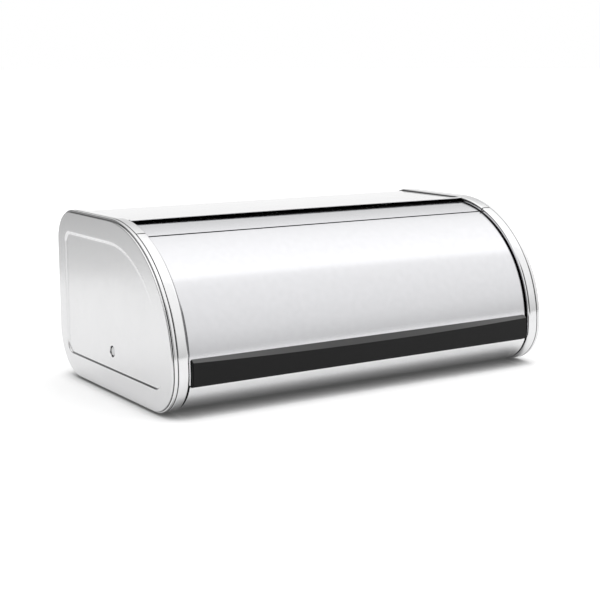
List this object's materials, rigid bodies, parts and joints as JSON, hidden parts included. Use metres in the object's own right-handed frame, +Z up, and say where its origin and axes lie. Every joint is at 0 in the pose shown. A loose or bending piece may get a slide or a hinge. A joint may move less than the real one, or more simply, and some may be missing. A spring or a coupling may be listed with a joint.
{
  "type": "bread box with roll top",
  "caption": "Free-standing sheet-steel bread box whose curved front lid turns on side pivots and rolls back under a flat top panel.",
  "frame": {"origin": "centre of the box's footprint, on the surface that its feet stand on", "axes": "+X along the box's width to its right, +Y from the lid side to the back, +Z up"},
  "size_m": [0.437, 0.25, 0.17],
  "materials": {
    "polished_steel": "bright polished stainless steel",
    "lid_steel": "bright polished stainless steel with a faint grain along the width",
    "pressed_steel": "satin pressed steel",
    "plain_steel": "plain mill finish",
    "black_plastic": "satin black plastic",
    "nylon": "natural nylon",
    "foot_rubber": "matt rubber"
  },
  "bodies": {
    "housing": {"left_end_panel": "pressed_steel", "right_end_panel": "pressed_steel", "left_edge_bead": "polished_steel", "right_edge_bead": "polished_steel", "left_front_rim": "polished_steel", "right_front_rim": "polished_steel", "left_rear_rim": "polished_steel", "right_rear_rim": "polished_steel", "left_side_liner": "plain_steel", "right_side_liner": "plain_steel", "left_pivot_pin": "plain_steel", "right_pivot_pin": "plain_steel", "left_pivot_spacer": "plain_steel", "right_pivot_spacer": "plain_steel", "left_pivot_washer": "nylon", "right_pivot_washer": "nylon", "left_pivot_clip": "plain_steel", "right_pivot_clip": "plain_steel", "left_front_foot": "foot_rubber", "right_front_foot": "foot_rubber", "left_rear_foot": "foot_rubber", "right_rear_foot": "foot_rubber", "top_back_panel": "polished_steel", "base_pan": "polished_steel"},
    "lid": {"lid_sheet": "lid_steel", "left_lid_arm": "plain_steel", "right_lid_arm": "plain_steel", "left_pivot_bush": "nylon", "right_pivot_bush": "nylon", "lid_rear_stiffener": "plain_steel", "handle": "black_plastic", "handle_screw_1": "plain_steel", "handle_screw_2": "plain_steel", "handle_screw_3": "plain_steel", "handle_screw_4": "plain_steel"}
  },
  "joints": [
    {"name": "lid_roll", "type": "hinge", "parent": "housing", "child": "lid", "pos_m": [0, 0.003, 0.042], "axis": [-1, 0, 0], "range_deg": [0, 72]}
  ]
}
